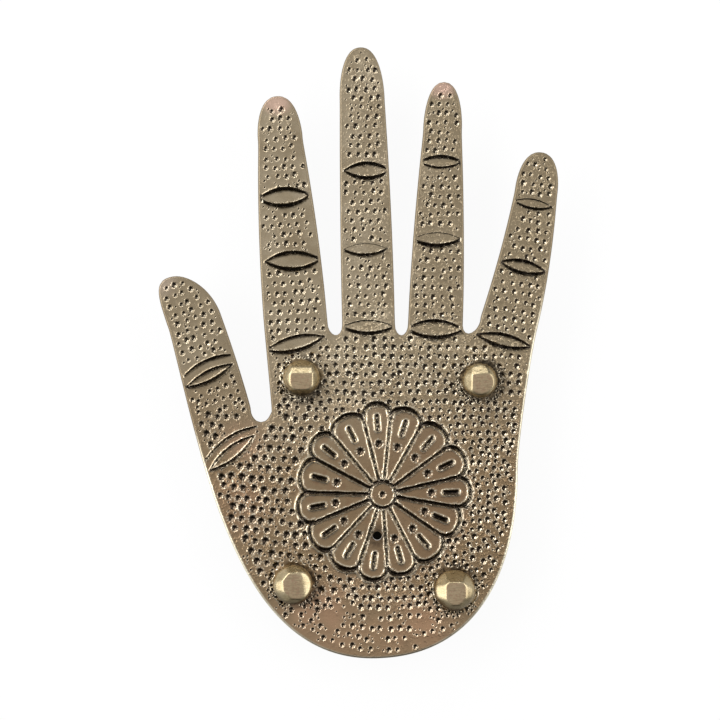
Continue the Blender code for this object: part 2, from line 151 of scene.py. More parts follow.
FINGER_ROWS = (
    FingerRows(-34.5, 19.5, -43.6, 44.0, 12.0, 1.85, 1.95, 0.58),
    FingerRows(-18.0, 34.0, -21.7, 81.5, 12.4, 1.85, 2.0, 0.6),
    FingerRows(-2.9, 33.5, -4.6, 91.5, 10.6, 1.85, 1.95, 0.6),
    FingerRows(11.0, 33.5, 12.6, 84.5, 10.6, 1.8, 1.9, 0.58),
    FingerRows(26.2, 32.5, 32.9, 70.0, 11.4, 1.85, 1.9, 0.58),
)
PALM_ROWS = (
    PalmRows(-45.0, -6.0, -20.0, 17.0, 2.05, 2.25, 0.8, 0.98, 0.16, 0.2),
    PalmRows(-6.0, 31.0, -20.0, 20.0, 1.7, 1.68, 0.62, 0.98, 0.16, 1.0),
    PalmRows(-45.0, 31.0, 16.0, 34.0, 1.9, 1.85, 0.66, 0.97, 0.18, 1.0),
    PalmRows(-14.0, 13.0, -24.0, -18.0, 1.7, 1.7, 0.64, 0.95, 0.15, 1.0),
    PalmRows(-30.0, 26.0, -36.0, -20.0, 1.95, 2.2, 0.58, 0.82, 0.18, 1.0),
)
# Where the palm's rows start, at the top left, and how far they may go on from there
PALM_LEFT = -46.0
PALM_TOP = 36.0
PALM_WIDTH = 78.0
PALM_HEIGHT = 90.0
# The height below which rows rise at their ends, how much lower they do so fully, and half the palm's width
SAG_TOP = 20.0
SAG_DEPTH = 54.0
SAG_WIDTH = 26.0
FINGER_SIDE_JITTER = 0.15
FINGER_ROW_JITTER = 0.16

# The least and greatest size of a mark: shares of its row's radius, or millimetres for scuffs and strays
FINGER_SIZES = (0.75, 1.2)
PALM_SIZES = (0.78, 1.18)
SCUFF_SIZES = (0.22, 0.4)
STRAY_SIZES = (0.2, 0.34)
# How far in from the edge a mark's rim stays, and the least gap to other marks' middles in sums of both radii
FINGER_ROOM = (-0.2, 1.08)
PALM_ROOM = (0.1, 0.95)
SCUFF_ROOM = (0.1, 0.85)
STRAY_ROOM = (0.1, 1.05)
SCUFF_TRIES = 90
SCUFF_REACH = (0.35, 1.9)
STRAY_TRIES = 4200
CREASE_ROOM = 0.1
CREASE_SIDE_ROOM = 0.2
ROSETTE_ROOM = 0.3
HOLE_ROOM = 1.3
# Bare patches on the heel of the palm: a place on the plan and a radius
BARE_PATCHES = ((-11.0, -26.5, 1.2), (8.6, -27.0, 1.0))
CHANCE_SEED = 7

# Rings up the plate's rounded edge: how far out from the outline, how far up, and its share of the edge band
EDGE_RINGS = (
    (0.0, 0.0, 0.0), (0.2, 0.06, 0.0), (0.3, 0.25, 0.0),
    (0.3, 1.05, 1.0), (0.27, 1.28, 1.0), (0.17, 1.47, 1.0),
    (0.04, 1.57, 1.0), (-0.1, 1.597, 0.7), (-0.3, 1.6, 0.0),
)
OUTLINE_SPACING = 0.7
HOLE_SPACING = 0.3

# Rings of points in a punch mark: shares of its radius, how many points, and a turn in steps between them
MARK_RINGS = ((0.4, 6, 0.0), (0.72, 10, 0.3), (1.0, 10, 0.0), (1.25, 10, 0.3))
# Rows of points on one side of a scribed line, in shares of its width, with its lip at half the width
LINE_ROWS = (0.25, 0.5, 0.8, 1.15)
LIP_ROW = 0.5
LINE_END_TURNS = (-60, -30, 0, 30, 60)
LINE_EDGE_ROOM = 0.08

# Heights out from the middle of a punch mark and a scribed line: the lip is at 0.5 and the flat at the end
PUNCH_PROFILE = ((0.0, 0.0), (0.2, 0.2), (0.36, 0.7), (0.5, 1.0), (0.63, 0.85), (1.0, 0.85))
LINE_PROFILE = ((0.0, 0.0), (0.25, 0.35), (0.5, 1.0), (0.8, 0.7), (1.0, 0.7))
PUNCH_DEPTH = 0.75
LINE_DEPTH = 0.42

# Places tinted towards copper, pinkish on three fingertips and worn to copper on the palm: on the plan,
# with an inner and an outer distance, the least share of the tint and its colour
COPPERY = (
    ((-21.9, 82.2), 2.0, 4.0, 0.8, (0.72, 0.5, 0.39)),
    ((12.4, 85.6), 1.8, 4.0, 0.8, (0.72, 0.49, 0.39)),
    ((-46.0, 44.0), 1.0, 4.0, 0.6, (0.5, 0.4, 0.31)),
    ((-2.0, -28.0), 3.0, 14.0, 0.2, (0.4, 0.262, 0.155)),
    ((-13.0, -25.0), 3.0, 11.0, 0.2, (0.46, 0.29, 0.18)),
    ((9.0, -27.0), 2.0, 9.0, 0.2, (0.49, 0.3, 0.18)),
    ((-29.0, -2.0), 2.0, 9.0, 0.2, (0.36, 0.225, 0.135)),
    ((-29.0, 11.0), 1.0, 6.0, 0.2, (0.42, 0.27, 0.17)),
)

LEGS = ("index", "little", "thumb_heel", "little_heel")
# Turns from and to which a groove shows round each head, from the rivet set that seated it
SET_ARCS = {"index": (135, 245), "little": (185, 255), "thumb_heel": (165, 255), "little_heel": (165, 375)}
SET_STEPS = 24
SET_ROOM = 0.45
SET_LINE = 0.75
# Where a painted shadow lies against each head, as a shift of a dark round from the head's middle
SHADOW_SIDES = {
    "index": (-0.1, -1.0), "little": (0.9, 0.0), "thumb_heel": (0.7, -0.5), "little_heel": (0.3, 0.9),
}

SEAT_GAP = 0.2
HEAD_SEAT_DROP = 1.4
HEAD_SIDES = 96
HEAD_STEPS = 56
# How crisply a head's flats meet
FLAT_CRISPNESS = 40
SHANK_DIAMETER = 3.4
SHANK_CLEARANCE = 0.3
SOCKET_DEPTH = 5.3
# The rounded base of a foot: how far in from its widest radius, and how far up
FOOT_BASE = ((0.75, 0.0), (0.35, 0.12), (0.08, 0.42), (0.0, 0.8), (0.08, 1.18), (0.35, 1.48), (0.8, 1.65))
FOOT_WAIST_RADIUS = 2.8
FOOT_WAIST_FLARE = 0.15
FOOT_WAIST_STEPS = 13
FOOT_COLLAR_RADIUS = 3.6
FOOT_COLLAR_HEIGHT = 1.2
FOOT_COLLAR_ROUNDING = 0.15
FOOT_SIDES = 72

CAMERA_X = 0.33
CAMERA_Y = -1.48
CAMERA_HEIGHT = 415.0

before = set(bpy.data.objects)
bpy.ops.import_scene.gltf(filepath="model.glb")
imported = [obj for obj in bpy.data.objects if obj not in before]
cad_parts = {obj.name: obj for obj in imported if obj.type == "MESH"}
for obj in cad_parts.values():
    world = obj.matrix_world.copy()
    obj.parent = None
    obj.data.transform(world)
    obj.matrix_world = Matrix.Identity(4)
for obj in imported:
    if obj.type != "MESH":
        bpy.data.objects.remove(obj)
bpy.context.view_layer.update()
plate_bottom, plate_top = (corner[2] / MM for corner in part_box("hand_plate"))


def on_plan(x, y):
    """A place given from the middle of the rosette, as millimetres in the frame."""
    return Vector((PALM_X + x, PALM_Y + y))


def around(middle, radius, angle):
    """A place at a distance and an angle from another on the plan."""
    return middle + radius * Vector((math.cos(angle), math.sin(angle)))


def add_piece(name, bm):
    """Makes a new object from a mesh under construction."""
    mesh = bpy.data.meshes.new(name)
    bm.to_mesh(mesh)
    bm.free()
    piece = bpy.data.objects.new(name, mesh)
    bpy.context.scene.collection.objects.link(piece)
    return piece


def finish_piece(piece, node):
    """Puts a piece on the holder's one body, in the place of its solid."""
    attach(piece, "root")
    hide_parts(node)


def plug(socket, value):
    """Gives a socket a link or a plain value."""
    if isinstance(value, bpy.types.NodeSocket):
        socket.id_data.links.new(value, socket)
    else:
        socket.default_value = value


def add_node(tree, kind, inputs=(), **settings):
    """Adds a node with its settings, and plugs what each named input is given."""
    node = tree.nodes.new(kind)
    for name, value in settings.items():
        setattr(node, name, value)
    for name, value in dict(inputs).items():
        plug(node.inputs[name], value)
    return node


def calculate(operation, *values):
    """A maths node in the tree that the values come from, with its answer."""
    tree = next(value.id_data for value in values if isinstance(value, bpy.types.NodeSocket))
    node = add_node(tree, "ShaderNodeMath", operation=operation)
    for socket, value in zip(node.inputs, values):
        plug(socket, value)
    return node.outputs[0]


def product(first, *others):
    """Values multiplied together."""
    for other in others:
        first = calculate("MULTIPLY", first, other)
    return first


def highest(first, *others):
    """The greatest of some values."""
    for other in others:
        first = calculate("MAXIMUM", first, other)
    return first


def rest_of(share):
    """What a share leaves of 1."""
    return calculate("SUBTRACT", 1.0, share)


def remap(value, low, high, to_low, to_high):
    """Maps one range onto another and stops at its ends."""
    inputs = {"Value": value, "From Min": low, "From Max": high, "To Min": to_low, "To Max": to_high}
    return add_node(value.id_data, "ShaderNodeMapRange", inputs, clamp=True).outputs["Result"]


def gap_between(first, second):
    """The distance between two places."""
    node = add_node(first.id_data, "ShaderNodeVectorMath", operation="DISTANCE")
    plug(node.inputs[0], first)
    plug(node.inputs[1], second)
    return node.outputs["Value"]


def head_plan(name):
    """The middle of a stud on the plan and the radius of its head, in millimetres."""
    foot_low, foot_high = (Vector(corner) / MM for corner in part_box(f"{name}_foot"))
    low, high = (Vector(corner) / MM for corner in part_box(f"{name}_stud"))
    middle = (foot_low + foot_high).xy / 2
    return middle, max(high.x - middle.x, middle.x - low.x)


def underside_loops(node):
    """The loops round the plate's flat underside in millimetres, the outline first and then the holes."""
    bm = bmesh.new()
    bm.from_mesh(node.data)
    bmesh.ops.remove_doubles(bm, verts=bm.verts, dist=0.001 * MM)
    lowest = min(vert.co.z for vert in bm.verts)
    flat = [face for face in bm.faces if all(vert.co.z < lowest + 0.01 * MM for vert in face.verts)]
    known = set(flat)
    following = {}
    for face in flat:
        for loop in face.loops:
            if not known.issuperset(loop.edge.link_faces):
                following[loop.link_loop_next.vert] = loop.vert
    loops = []
    while following:
        start, vert = following.popitem()
        loop = [start]
        while vert is not start:
            loop.append(vert)
            vert = following.pop(vert)
        loops.append([vert.co.xy / MM for vert in loop])
    bm.free()
    return sorted(loops, key=lambda loop: -max((point - loop[0]).length for point in loop))


def smoothed(loop, spacing):
    """Points at about the given spacing on a smooth closed curve through a loop's points."""
    points = []
    for number in range(len(loop)):
        before, start, end, after = (loop[(number + step) % len(loop)] for step in (-1, 0, 1, 2))
        count = max(1, round((end - start).length / spacing))
        for step in range(count):
            share = step / count
            bend = start * 2 + (end - before) * share
            bend += (before * 2 - start * 5 + end * 4 - after) * share**2
            bend += (start * 3 - before - end * 3 + after) * share**3
            points.append(bend / 2)
    return points


def outward(loop):
    """The outward direction at each point of a loop that runs round to the left."""
    directions = []
    for number in range(len(loop)):
        along = loop[(number + 1) % len(loop)] - loop[number - 1]
        directions.append(Vector((along.y, -along.x)).normalized())
    return directions


def plate_plan():
    """The loops up the plate's edge, and each hole's middle, radius and points."""
    outline, *holes = underside_loops(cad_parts["hand_plate"])
    outline = smoothed(outline, OUTLINE_SPACING)
    directions = outward(outline)
    loops = [[point + way * out for point, way in zip(outline, directions)] for out, _, _ in EDGE_RINGS]
    rounds = []
    for hole in holes:
        points = smoothed(hole[::-1], HOLE_SPACING)
        middle = sum(points, Vector((0.0, 0.0))) / len(points)
        rounds.append((middle, (points[0] - middle).length, points))
    return loops, rounds


def arc(start, end, rise, count):
    """Points along a shallow arc that rises to the left of the way from start to end."""
    across = (end - start).orthogonal().normalized()
    points = []
    for step in range(count + 1):
        share = step / count
        points.append(start.lerp(end, share) + across * rise * 4 * share * (1 - share))
    return points


def crease_lines(chance):
    """Each scribed crease arc as its points and the line's width at each point."""
    lines = []
    for crease in CREASES:
        middle = on_plan(crease.x, crease.y)
        tilt = math.radians(crease.tilt)
        half = Vector((math.cos(tilt), math.sin(tilt))) * crease.length / 2
        for width, rise in ((crease.upper, crease.height / 2), (crease.lower, -crease.height / 2)):
            if not width:
                continue
            points = arc(middle - half, middle + half, rise, CREASE_STEPS)
            swell = [0.6 + 0.4 * math.sin(math.pi * step / CREASE_STEPS) for step in range(CREASE_STEPS + 1)]
            lines.append((points, [width * share * chance.uniform(0.85, 1.1) for share in swell]))
    return lines


def polar(radius, degrees):
    """A place in the rosette at a radius and a turn, to the right from straight up."""
    angle = math.radians(degrees)
    return on_plan(radius * math.sin(angle), radius * math.cos(angle))


def cut_petals():
    """The rosette's petals, with each notch between the tips on its two sides."""
    petals = []
    for number, (left, tip) in enumerate(PETAL_CUTS):
        right, tip_after = PETAL_CUTS[(number + 1) % len(PETAL_CUTS)]
        tip_before = PETAL_CUTS[number - 1][1]
        notches = ((tip_before + tip) / 2 - PETAL_DEPTH, (tip + tip_after) / 2 - PETAL_DEPTH)
        petals.append(Petal(left, left + (right - left) % 360, *notches, tip))
    return petals


def radial_line(start, end, degrees, count):
    """Points in the rosette along a line from one radius out to another."""
    return [polar(start + (end - start) * step / count, degrees) for step in range(count + 1)]


def petal_end(petal, count):
    """Points round a petal's end, closer together where it turns into its notches."""
    shares = [(1 - math.cos(math.pi * step / count)) / 2 for step in range(count + 1)]
    return [polar(petal.reach(share), petal.turn(share)) for share in shares]


def hand_cut(points, width, chance):
    """A scribed line of uneven width, as its points and the width at each."""
    return points, [width * chance.uniform(0.8, 1.1) for _ in points]


def rosette_lines(petals, chance):
    """The rosette's scribed lines: the hub, petal sides, rounded petal ends and dashes."""
    hub = [polar(HUB_RADIUS, 360 * step / 36) for step in range(37)]
    lines = [hand_cut(hub, ROSETTE_LINE, chance)]
    for petal in petals:
        dash_middle = petal.tip - DASH_INSIDE
        dash_ends = (dash_middle - DASH_LENGTH / 2, dash_middle + DASH_LENGTH / 2)
        dash = radial_line(*dash_ends, petal.turn(0.5), 6)
        side = radial_line(HUB_RADIUS, petal.left_notch, petal.left, 16)
        lines.append(hand_cut(side, ROSETTE_LINE, chance))
        lines.append(hand_cut(petal_end(petal, 14), PETAL_END_LINE, chance))
        lines.append((dash, [DASH_LINE] * len(dash)))
    return lines


def set_lines(heads, chance):
    """Part of a circle round each stud's head, given the heads' middles and radii by name."""
    lines = []
    for name, (middle, radius) in heads.items():
        start, end = SET_ARCS[name]
        turns = [math.radians(start + (end - start) * step / SET_STEPS) for step in range(SET_STEPS + 1)]
        points = [around(middle, radius + SET_ROOM, turn) for turn in turns]
        lines.append((points, [SET_LINE * chance.uniform(0.6, 1.1) for _ in points]))
    return lines


def rosette_marks(petals, hole):
    """Punch marks on the petals and the hub, apart from the petal that has the incense hole."""
    marks = [(on_plan(0, 0), HUB_DOT_RADIUS)]
    for petal in petals:
        place = polar(petal.tip * PETAL_DOT, petal.turn(0.5))
        if (place - hole).length > 3:
            marks.append((place, PETAL_DOT_RADIUS))
    return marks


class PunchingGround:
    """Where the punch may strike: inside the outline, clear of creases, rosette, rounds and earlier marks.

    The rounds to keep clear of are places with a radius, such as the studs' heads.
    """

    def __init__(self, outline, petals, rounds):
        self.corners = np.array(outline)
        self.nexts = np.roll(self.corners, -1, axis=0)
        self.petals = petals
        self.rounds = rounds
        self.marks = []

    def inside(self, place):
        x, y = place
        crosses = (self.corners[:, 1] > y) != (self.nexts[:, 1] > y)
        rise = (self.nexts - self.corners)[crosses]
        at = self.corners[crosses, 0] + (y - self.corners[crosses, 1]) * rise[:, 0] / rise[:, 1]
        return np.count_nonzero(at > x) % 2 == 1

    def edge_distance(self, place):
        way = self.nexts - self.corners
        share = ((np.array(place) - self.corners) * way).sum(axis=1) / (way**2).sum(axis=1)
        nearest = self.corners + np.clip(share, 0, 1)[:, None] * way
        return np.linalg.norm(nearest - np.array(place), axis=1).min()

    def in_crease(self, place, room):
        for crease in CREASES:
            tilt = math.radians(crease.tilt)
            gap = place - on_plan(crease.x, crease.y)
            along = abs(gap.x * math.cos(tilt) + gap.y * math.sin(tilt)) / (crease.length / 2 + room)
            across = abs(gap.y * math.cos(tilt) - gap.x * math.sin(tilt))
            if along < 1 and across < crease.height / 2 * (1 - along**2) + room + CREASE_SIDE_ROOM:
                return True
        return False

    def in_rosette(self, place, room):
        gap = place - on_plan(0, 0)
        turn = math.degrees(math.atan2(gap.x, gap.y))
        for petal in self.petals:
            share = (turn - petal.left) % 360 / (petal.right - petal.left)
            if share < 1:
                return gap.length < petal.reach(share) + room
        return False

    def strike(self, place, radius, room):
        """Adds a mark if there is room for it."""
        margin, closest = room
        if not self.inside(place) or self.edge_distance(place) < margin + radius:
            return
        if self.in_crease(place, radius + CREASE_ROOM) or self.in_rosette(place, radius + ROSETTE_ROOM):
            return
        if any((place - middle).length < reach + radius for middle, reach in self.rounds):
            return
        if any((place - other).length < closest * (radius + size) for other, size in self.marks):
            return
        self.marks.append((place, radius))


def punch_fingers(ground, chance):
    """Rows of marks across each finger, from its root to its tip."""
    for rows in FINGER_ROWS:
        root = on_plan(rows.root_x, rows.root_y)
        tip = on_plan(rows.tip_x, rows.tip_y)
        along = (tip - root).normalized()
        across = Vector((along.y, -along.x))
        count = round(rows.width / rows.pitch)
        for row in range(int((tip - root).length / rows.spacing) + 1):
            shift = chance.uniform(-0.5, 0.5) * rows.pitch
            for number in range(-count // 2, count // 2 + 2):
                sideways = number * rows.pitch + shift + chance.gauss(0, FINGER_SIDE_JITTER)
                forward = row * rows.spacing + chance.gauss(0, FINGER_ROW_JITTER)
                radius = rows.radius * chance.uniform(*FINGER_SIZES)
                ground.strike(root + along * forward + across * sideways, radius, FINGER_ROOM)


def palm_sag(x, level):
    """How far a punched row rises towards its ends, as it follows the heel near the bottom of the palm."""
    low = max(0.0, min(1.0, (SAG_TOP - level) / SAG_DEPTH))
    reach, power = (11.0, 1.6) if x > 0 else (12.5, 0.8)
    return low**power * reach * (x / SAG_WIDTH) ** 2


def punch_palm(ground, chance):
    """Rows of marks over each stretch of the palm, from the top down."""
    for rows in PALM_ROWS:
        for row in range(int(PALM_HEIGHT / rows.spacing)):
            level = PALM_TOP - row * rows.spacing
            shift = chance.uniform(0, rows.pitch)
            for number in range(int(PALM_WIDTH / rows.pitch)):
                x = PALM_LEFT + number * rows.pitch + shift + chance.gauss(0, rows.jitter)
                y = level + rows.sag * palm_sag(x, level) + chance.gauss(0, rows.jitter)
                kept = chance.random() < rows.keep
                radius = rows.radius * chance.uniform(*PALM_SIZES)
                if kept and rows.left < x < rows.right and rows.bottom < y < rows.top:
                    ground.strike(on_plan(x, y), radius, PALM_ROOM)


def scuff(ground, heads, chance):
    """Small crowded marks close round each stud's head."""
    for middle, radius in heads.values():
        for _ in range(SCUFF_TRIES):
            turn = chance.uniform(0, 2 * math.pi)
            place = around(middle, radius + chance.uniform(*SCUFF_REACH), turn)
            ground.strike(place, chance.uniform(*SCUFF_SIZES), SCUFF_ROOM)


def scatter(ground, chance):
    """Small stray marks wherever a try finds room."""
    low, high = ground.corners.min(axis=0), ground.corners.max(axis=0)
    for _ in range(STRAY_TRIES):
        place = Vector((chance.uniform(low[0], high[0]), chance.uniform(low[1], high[1])))
        ground.strike(place, chance.uniform(*STRAY_SIZES), STRAY_ROOM)


def chase(outline, hole, heads):
    """Punches the ground inside an outline and scribes lines. Gives the ground, the marks and the lines."""
    petals = cut_petals()
    bare = [(on_plan(x, y), room) for x, y, room in BARE_PATCHES]
    ground = PunchingGround(outline, petals, list(heads.values()) + bare)
    chance = random.Random(CHANCE_SEED)
    ground.marks += rosette_marks(petals, hole)
    ground.marks.append((hole, HOLE_ROOM))
    punch_fingers(ground, chance)
    punch_palm(ground, chance)
    scuff(ground, heads, chance)
    scatter(ground, chance)
    marks = [mark for mark in ground.marks if mark[0] is not hole]
    lines = crease_lines(chance) + rosette_lines(petals, chance) + set_lines(heads, chance)
    return ground, marks, lines


class SheetPlan:
    """Points and lines that a face of the plate is triangulated from, in millimetres."""

    def __init__(self):
        self.points = []
        self.edges = []

    def add_loop(self, loop):
        first = len(self.points)
        self.points += loop
        self.edges += [(first + number, first + (number + 1) % len(loop)) for number in range(len(loop))]

    def add_mark(self, middle, radius):
        self.points.append(middle)
        for share, count, turn in MARK_RINGS:
            for number in range(count):
                self.points.append(around(middle, radius * share, 2 * math.pi * (number + turn) / count))

    def add_line(self, points, widths, ground):
        """A scribed line's floor, its lips and the flat just outside them, along it and round its ends."""
        for share in (*(-row for row in reversed(LINE_ROWS)), 0.0, *LINE_ROWS):
            self.add_row(points, widths, share, ground)
        for end, inner, width in ((points[0], points[1], widths[0]), (points[-1], points[-2], widths[-1])):
            forward = (end - inner).normalized() * width
            for share in LINE_ROWS:
                for turn in LINE_END_TURNS:
                    way = forward.copy()
                    way.rotate(Matrix.Rotation(math.radians(turn), 2))
                    place = end + way * share
                    if ground.inside(place) and ground.edge_distance(place) > LINE_EDGE_ROOM:
                        self.points.append(place)

    def add_row(self, points, widths, share, ground):
        """Points beside a line at a share of its width, joined into an edge out to the lips."""
        before = None
        for number, point in enumerate(points):
            along = points[min(number + 1, len(points) - 1)] - points[max(number - 1, 0)]
            across = Vector((along.y, -along.x)).normalized()
            place = point + across * widths[number] * share
            if not ground.inside(place) or ground.edge_distance(place) < LINE_EDGE_ROOM:
                before = None
                continue
            self.points.append(place)
            if before is not None and abs(share) <= LIP_ROW:
                self.edges.append((before, len(self.points) - 1))
            before = len(self.points) - 1

    def triangles(self):
        made = delaunay_2d_cdt(self.points, self.edges, [], 1, 0.002)
        return made[0], made[2]


def add_ring(bm, loop, height):
    """New points of a mesh, at places on the plan and a height in millimetres."""
    return [bm.verts.new((point.x * MM, point.y * MM, height * MM)) for point in loop]


def bridge(bm, lower, upper):
    """Quads between two rings that run round to the left, facing outwards."""
    for number in range(len(lower)):
        after = (number + 1) % len(lower)
        bm.faces.new((lower[number], lower[after], upper[after], upper[number]))


def add_sheet(bm, plan, height, holes, facing_up):
    """Triangulates a plan at a height, and leaves the holes open. Gives the new points."""
    points, faces = plan.triangles()
    verts = add_ring(bm, points, height)
    for face in faces:
        middle = sum((points[corner] for corner in face), Vector((0.0, 0.0))) / len(face)
        if any((middle - centre).length < radius for centre, radius, _ in holes):
            continue
        corners = [verts[corner] for corner in face]
        bm.faces.new(corners if facing_up else corners[::-1])
    return verts


def plate_mesh(loops, rounds, ground, marks, lines):
    """The plate before its chasing is sunk: rounded edge, hole walls, top and underside."""
    bm = bmesh.new()
    chased = bm.verts.layers.float.new("chased")
    worn_edge = bm.verts.layers.float.new("worn_edge")
    rings = [add_ring(bm, loop, plate_bottom + up) for loop, (_, up, _) in zip(loops, EDGE_RINGS)]
    for lower, upper in zip(rings, rings[1:]):
        bridge(bm, lower, upper)
    for ring, (_, _, edge_share) in zip(rings, EDGE_RINGS):
        for vert in ring:
            vert[worn_edge] = edge_share
    top, underside = SheetPlan(), SheetPlan()
    top.add_loop(loops[-1])
    underside.add_loop(loops[0])
    for _, _, hole in rounds:
        top.add_loop(hole)
        underside.add_loop(hole)
        bridge(bm, add_ring(bm, hole, plate_bottom)[::-1], add_ring(bm, hole, plate_top)[::-1])
    for middle, radius in marks:
        top.add_mark(middle, radius)
    for points, widths in lines:
        top.add_line(points, widths, ground)
    for vert in add_sheet(bm, top, plate_top, rounds, True):
        vert[chased] = 1.0
    add_sheet(bm, underside, plate_bottom, rounds, False)
    bmesh.ops.remove_doubles(bm, verts=bm.verts, dist=0.003 * MM)
    for vert in bm.verts:
        if any(face.normal.z < 0.9 for face in vert.link_faces):
            vert[chased] = 0.0
    return bm


def profile_curve(value, points):
    """A curve with straight stretches between the given places and values."""
    node = add_node(value.id_data, "ShaderNodeFloatCurve", {"Value": value})
    curve = node.mapping.curves[0]
    for place, height in points[1:-1]:
        curve.points.new(place, height)
    for point, (place, height) in zip(curve.points, points):
        point.location = (place, height)
        point.handle_type = "VECTOR"
    node.mapping.update()
    return node.outputs["Value"]


def stored(tree, name):
    """A number that is stored on a mesh's points."""
    node = add_node(tree, "GeometryNodeInputNamedAttribute", {"Name": name}, data_type="FLOAT")
    return node.outputs["Attribute"]


def nearest_point(geometry):
    """The number of a geometry's nearest point."""
    node = add_node(geometry.id_data, "GeometryNodeSampleNearest", {"Geometry": geometry}, domain="POINT")
    return node.outputs["Index"]


def sampled(geometry, index, kind, value):
    """What a value is at one of a geometry's points."""
    inputs = {"Geometry": geometry, "Index": index}
    node = add_node(index.id_data, "GeometryNodeSampleIndex", inputs, data_type=kind, domain="POINT")
    plug(node.inputs["Value"], value)
    return node.outputs["Value"]


def punched_height(marks, depth):
    """How far out from the nearest punch mark's middle the plate is, in its radii, and how high."""
    tree = marks.id_data
    here = tree.nodes.new("GeometryNodeInputPosition").outputs["Position"]
    nearest = nearest_point(marks)
    middle = sampled(marks, nearest, "FLOAT_VECTOR", here)
    radius = sampled(marks, nearest, "FLOAT", stored(tree, "punch_radius"))
    out = calculate("DIVIDE", gap_between(here, middle), radius)
    height = profile_curve(calculate("MULTIPLY", out, 0.5), PUNCH_PROFILE)
    height = calculate("SUBTRACT", height, PUNCH_PROFILE[-1][1])
    return out, product(height, radius, depth)


def scribed_height(lines, depth):
    """How far away from the nearest scribed line the plate is, in its widths, and how high."""
    tree = lines.id_data
    to_line = add_node(tree, "GeometryNodeProximity", target_element="EDGES")
    plug(to_line.inputs[0], lines)
    width = sampled(lines, nearest_point(lines), "FLOAT", stored(tree, "line_width"))
    away = calculate("DIVIDE", to_line.outputs["Distance"], width)
    height = profile_curve(away, LINE_PROFILE)
    height = calculate("SUBTRACT", height, LINE_PROFILE[-1][1])
    return away, product(height, width, depth)


def lip_at(value, lip, spread):
    """1 where a value is at the lip, falling to 0 on both sides."""
    off = calculate("ABSOLUTE", calculate("SUBTRACT", value, lip))
    return remap(off, 0.0, spread, 1, 0)


def chasing_tree():
    """Sinks punch marks and scribed lines into the plate, raises their lips and marks where patina stays."""
    tree = bpy.data.node_groups.new("chasing", "GeometryNodeTree")
    sockets = (
        ("Geometry", "NodeSocketGeometry"), ("Punch marks", "NodeSocketObject"),
        ("Scribed lines", "NodeSocketObject"), ("Punch depth", "NodeSocketFloat"),
        ("Line depth", "NodeSocketFloat"), ("Finish", "NodeSocketMaterial"),
    )
    for name, kind in sockets:
        tree.interface.new_socket(name, in_out="INPUT", socket_type=kind)
    tree.interface.new_socket("Geometry", in_out="OUTPUT", socket_type="NodeSocketGeometry")
    given = tree.nodes.new("NodeGroupInput").outputs

    marks = add_node(tree, "GeometryNodeObjectInfo", {"Object": given["Punch marks"]}).outputs["Geometry"]
    lines = add_node(tree, "GeometryNodeObjectInfo", {"Object": given["Scribed lines"]}).outputs["Geometry"]
    out, sink = punched_height(marks, given["Punch depth"])
    away, carve = scribed_height(lines, given["Line depth"])
    chased = stored(tree, "chased")
    lip = highest(lip_at(out, 1.0, 0.2), lip_at(away, 0.5, 0.3))
    pits = remap(out, 0.3, 0.95, 1, 0)
    grooves = remap(away, 0.0, 0.5, 1, 0)
    geometry = given["Geometry"]
    for name, value in (("pits", pits), ("grooves", grooves), ("lip", lip)):
        inputs = {"Geometry": geometry, "Name": name}
        store = add_node(tree, "GeometryNodeStoreNamedAttribute", inputs, data_type="FLOAT", domain="POINT")
        plug(store.inputs["Value"], product(value, chased))
        geometry = store.outputs["Geometry"]
    height = product(calculate("ADD", sink, carve), chased)
    lift = add_node(tree, "ShaderNodeCombineXYZ", {"Z": height}).outputs["Vector"]
    moved = add_node(tree, "GeometryNodeSetPosition", {"Geometry": geometry, "Offset": lift})
    real = add_node(tree, "GeometryNodeRealizeInstances", {"Geometry": moved.outputs["Geometry"]})
    inputs = {"Geometry": real.outputs["Geometry"], "Material": given["Finish"]}
    dressed = add_node(tree, "GeometryNodeSetMaterial", inputs)
    plug(tree.nodes.new("NodeGroupOutput").inputs["Geometry"], dressed.outputs["Geometry"])
    return tree


def run_tree(piece, tree, **values):
    """Runs a tree on a piece with its named inputs and keeps the result as the piece's mesh."""
    modifier = piece.modifiers.new(tree.name, "NODES")
    modifier.node_group = tree
    for item in tree.interface.items_tree:
        name = item.name.lower().replace(" ", "_")
        if item.in_out == "INPUT" and name in values:
            modifier[item.identifier] = values[name]
    graph = bpy.context.evaluated_depsgraph_get()
    made = bpy.data.meshes.new_from_object(piece.evaluated_get(graph))
    plain = piece.data
    piece.modifiers.remove(modifier)
    piece.data = made
    made.name = piece.name
    bpy.data.meshes.remove(plain)


def add_guide(name, points, edges, attribute, values):
    """A helper mesh of points and edges at the plate's top, with one value at each point."""
    mesh = bpy.data.meshes.new(name)
    mesh.from_pydata([(point.x * MM, point.y * MM, plate_top * MM) for point in points], edges, [])
    layer = mesh.attributes.new(attribute, "FLOAT", "POINT")
    layer.data.foreach_set("value", [value * MM for value in values])
    guide = bpy.data.objects.new(name, mesh)
    bpy.context.scene.collection.objects.link(guide)
    return guide


def punch_guide(marks):
    """The punch marks' middles and radii, for the chasing."""
    places = [place for place, _ in marks]
    return add_guide("punch_marks", places, [], "punch_radius", [radius for _, radius in marks])


def line_guide(lines):
    """The scribed lines and their widths, for the chasing."""
    points, edges, widths = [], [], []
    for line, line_widths in lines:
        edges += [(len(points) + number, len(points) + number + 1) for number in range(len(line) - 1)]
        points += line
        widths += line_widths
    return add_guide("scribed_lines", points, edges, "line_width", widths)


